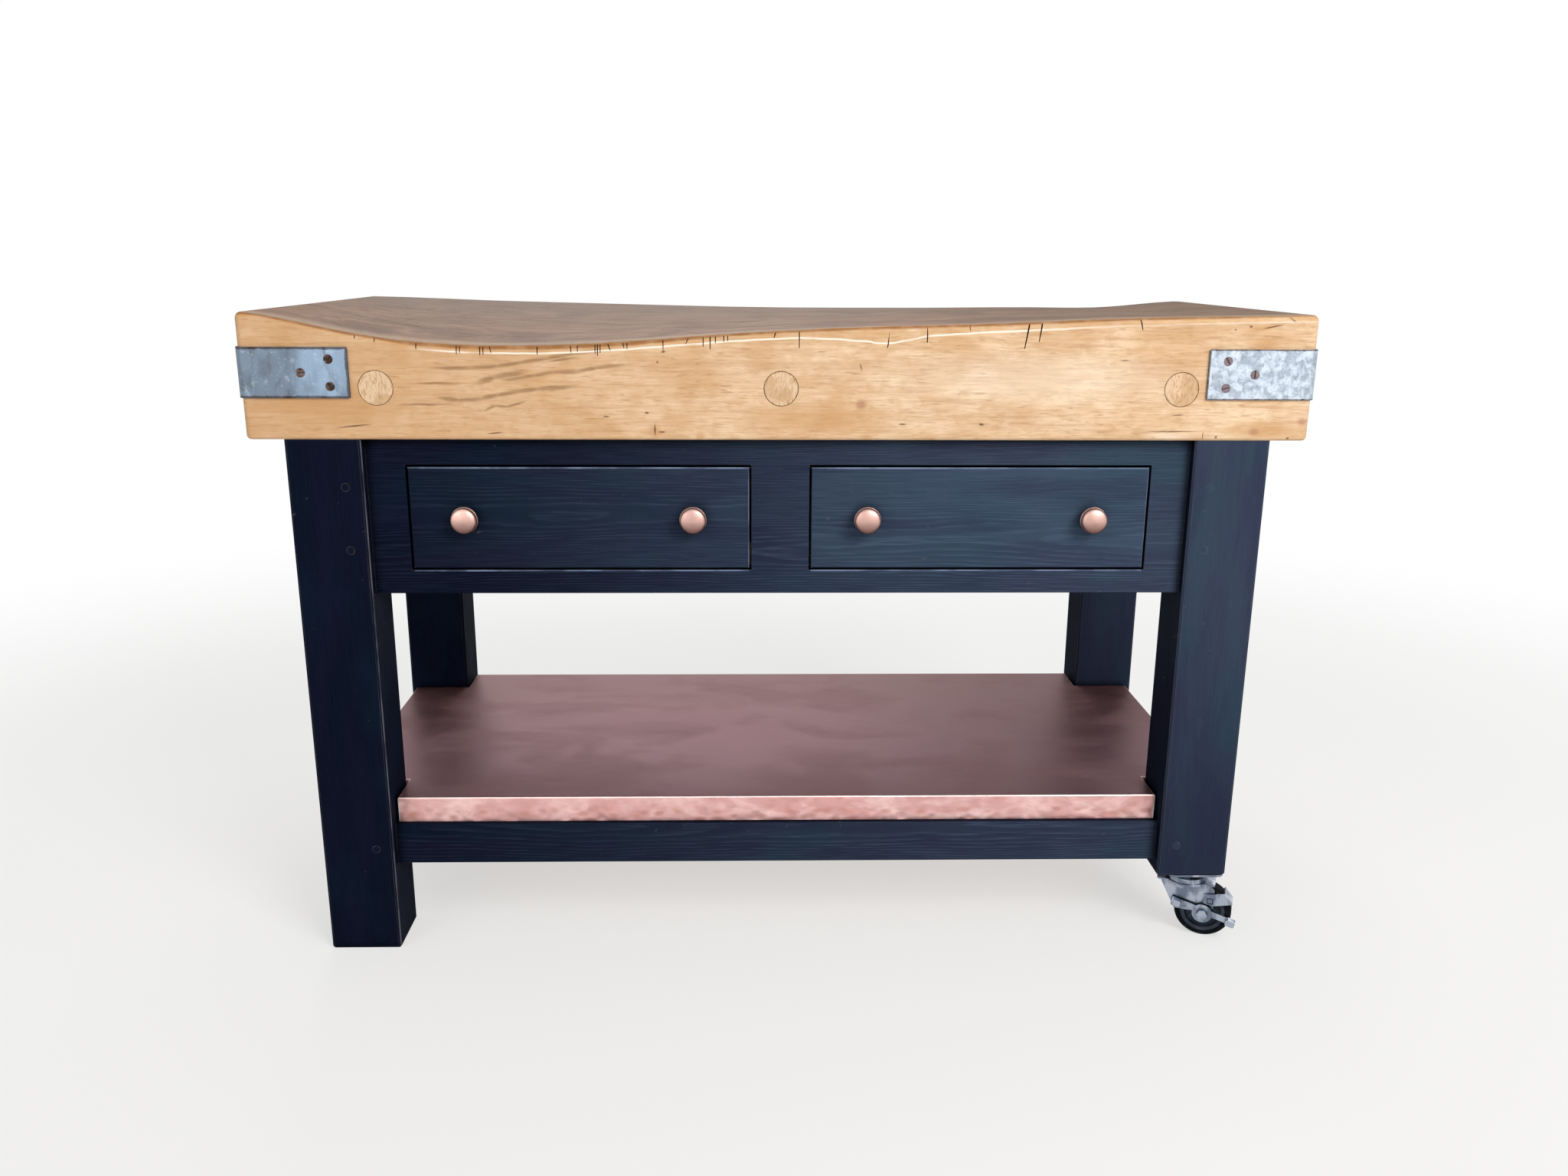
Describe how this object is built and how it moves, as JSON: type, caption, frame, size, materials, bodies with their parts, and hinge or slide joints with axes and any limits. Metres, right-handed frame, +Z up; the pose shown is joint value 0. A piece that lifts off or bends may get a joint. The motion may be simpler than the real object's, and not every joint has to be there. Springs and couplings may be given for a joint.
{
  "type": "butcher block",
  "caption": "Long worn butcher's block with steel corner plates on a dark drawer base with a copper shelf, plain feet at one end and braked casters at the other.",
  "frame": {"origin": "on the floor under the middle of the object", "axes": "+X to the right along the block's length, towards the casters; +Y to the rear, away from the drawers; +Z up"},
  "size_m": [1.378, 0.623, 0.8909],
  "materials": {
    "block_wood": "oiled, worn",
    "plug_wood": "oiled, worn",
    "plate_steel": "dull galvanised, stained",
    "screw_steel": "dull, a little rust",
    "rod_steel": "dull",
    "stained_pine": "navy black stain, satin",
    "raw_pine": "planed, bare",
    "drawer_panel": "thin plywood",
    "shelf_core": "bare board",
    "copper": "aged copper, satin",
    "caster_zinc": "bright zinc",
    "ball_steel": "polished",
    "tyre_rubber": "smooth",
    "hub_nylon": "moulded"
  },
  "bodies": {
    "frame": {"front_stave": "block_wood", "inner_staves": "block_wood", "rear_stave": "block_wood", "tie_rods": "rod_steel", "tie_rod_nuts": "rod_steel", "tie_rod_plugs": "plug_wood", "front_left_corner_plate": "plate_steel", "front_right_corner_plate": "plate_steel", "rear_left_corner_plate": "plate_steel", "rear_right_corner_plate": "plate_steel", "corner_plate_screws": "screw_steel", "locating_dowels": "raw_pine", "front_left_leg": "stained_pine", "front_right_leg": "stained_pine", "rear_left_leg": "stained_pine", "rear_right_leg": "stained_pine", "front_apron": "stained_pine", "rear_apron": "stained_pine", "left_apron": "stained_pine", "right_apron": "stained_pine", "front_lower_rail": "stained_pine", "rear_lower_rail": "stained_pine", "left_lower_rail": "stained_pine", "right_lower_rail": "stained_pine", "tenon_pegs": "stained_pine", "shelf_board": "shelf_core", "copper_cover": "copper", "drawer_runners": "raw_pine", "kickers": "raw_pine", "drawer_stops": "raw_pine", "caster_plates": "caster_zinc", "caster_plate_screws": "caster_zinc", "swivel_kingpins": "caster_zinc", "swivel_balls": "ball_steel"},
    "left_drawer": {"left_drawer_front": "stained_pine", "left_drawer_sides": "raw_pine", "left_drawer_back": "raw_pine", "left_drawer_bottom": "drawer_panel", "left_drawer_knobs": "copper", "left_drawer_knob_screws": "screw_steel"},
    "right_drawer": {"right_drawer_front": "stained_pine", "right_drawer_sides": "raw_pine", "right_drawer_back": "raw_pine", "right_drawer_bottom": "drawer_panel", "right_drawer_knobs": "copper", "right_drawer_knob_screws": "screw_steel"},
    "front_caster": {"front_caster_fork": "caster_zinc", "front_caster_axle_bush": "caster_zinc", "front_caster_axle_bolt": "caster_zinc"},
    "front_wheel": {"front_caster_tyre": "tyre_rubber", "front_caster_hub": "hub_nylon"},
    "front_brake_lever": {"front_caster_brake_lever": "caster_zinc"},
    "front_brake_shoe": {"front_caster_brake_shoe": "caster_zinc"},
    "rear_caster": {"rear_caster_fork": "caster_zinc", "rear_caster_axle_bush": "caster_zinc", "rear_caster_axle_bolt": "caster_zinc"},
    "rear_wheel": {"rear_caster_tyre": "tyre_rubber", "rear_caster_hub": "hub_nylon"},
    "rear_brake_lever": {"rear_caster_brake_lever": "caster_zinc"},
    "rear_brake_shoe": {"rear_caster_brake_shoe": "caster_zinc"}
  },
  "joints": [
    {"name": "left_drawer_slide", "type": "slide", "parent": "frame", "child": "left_drawer", "axis": [0, -1, 0], "range_m": [0, 0.35]},
    {"name": "right_drawer_slide", "type": "slide", "parent": "frame", "child": "right_drawer", "axis": [0, -1, 0], "range_m": [0, 0.35]},
    {"name": "front_caster_swivel", "type": "hinge", "parent": "frame", "child": "front_caster", "pos_m": [0.6, -0.257, 0.084], "axis": [0, 0, 1], "continuous": true},
    {"name": "front_wheel_roll", "type": "hinge", "parent": "front_caster", "child": "front_wheel", "pos_m": [0.62503, -0.26711, 0.04], "axis": [-0.3746, -0.9272, 0], "continuous": true},
    {"name": "front_brake_rock", "type": "hinge", "parent": "front_caster", "child": "front_brake_lever", "pos_m": [0.62503, -0.26711, 0.04], "axis": [-0.3746, -0.9272, 0], "range_deg": [0, 28]},
    {"name": "front_brake_press", "type": "slide", "parent": "front_caster", "child": "front_brake_shoe", "axis": [-0.7306, 0.2952, -0.6157], "range_m": [0, 0.001]},
    {"name": "rear_caster_swivel", "type": "hinge", "parent": "frame", "child": "rear_caster", "pos_m": [0.6, 0.257, 0.084], "axis": [0, 0, 1], "continuous": true},
    {"name": "rear_wheel_roll", "type": "hinge", "parent": "rear_caster", "child": "rear_wheel", "pos_m": [0.62503, 0.24689, 0.04], "axis": [-0.3746, -0.9272, 0], "continuous": true},
    {"name": "rear_brake_rock", "type": "hinge", "parent": "rear_caster", "child": "rear_brake_lever", "pos_m": [0.62503, 0.24689, 0.04], "axis": [-0.3746, -0.9272, 0], "range_deg": [0, 28]},
    {"name": "rear_brake_press", "type": "slide", "parent": "rear_caster", "child": "rear_brake_shoe", "axis": [-0.7306, 0.2952, -0.6157], "range_m": [0, 0.001]}
  ],
  "couplings": [
    {"joint": "front_brake_press", "follows": "front_brake_rock", "m_per_rad": 0.0020463},
    {"joint": "rear_brake_press", "follows": "rear_brake_rock", "m_per_rad": 0.0020463}
  ]
}
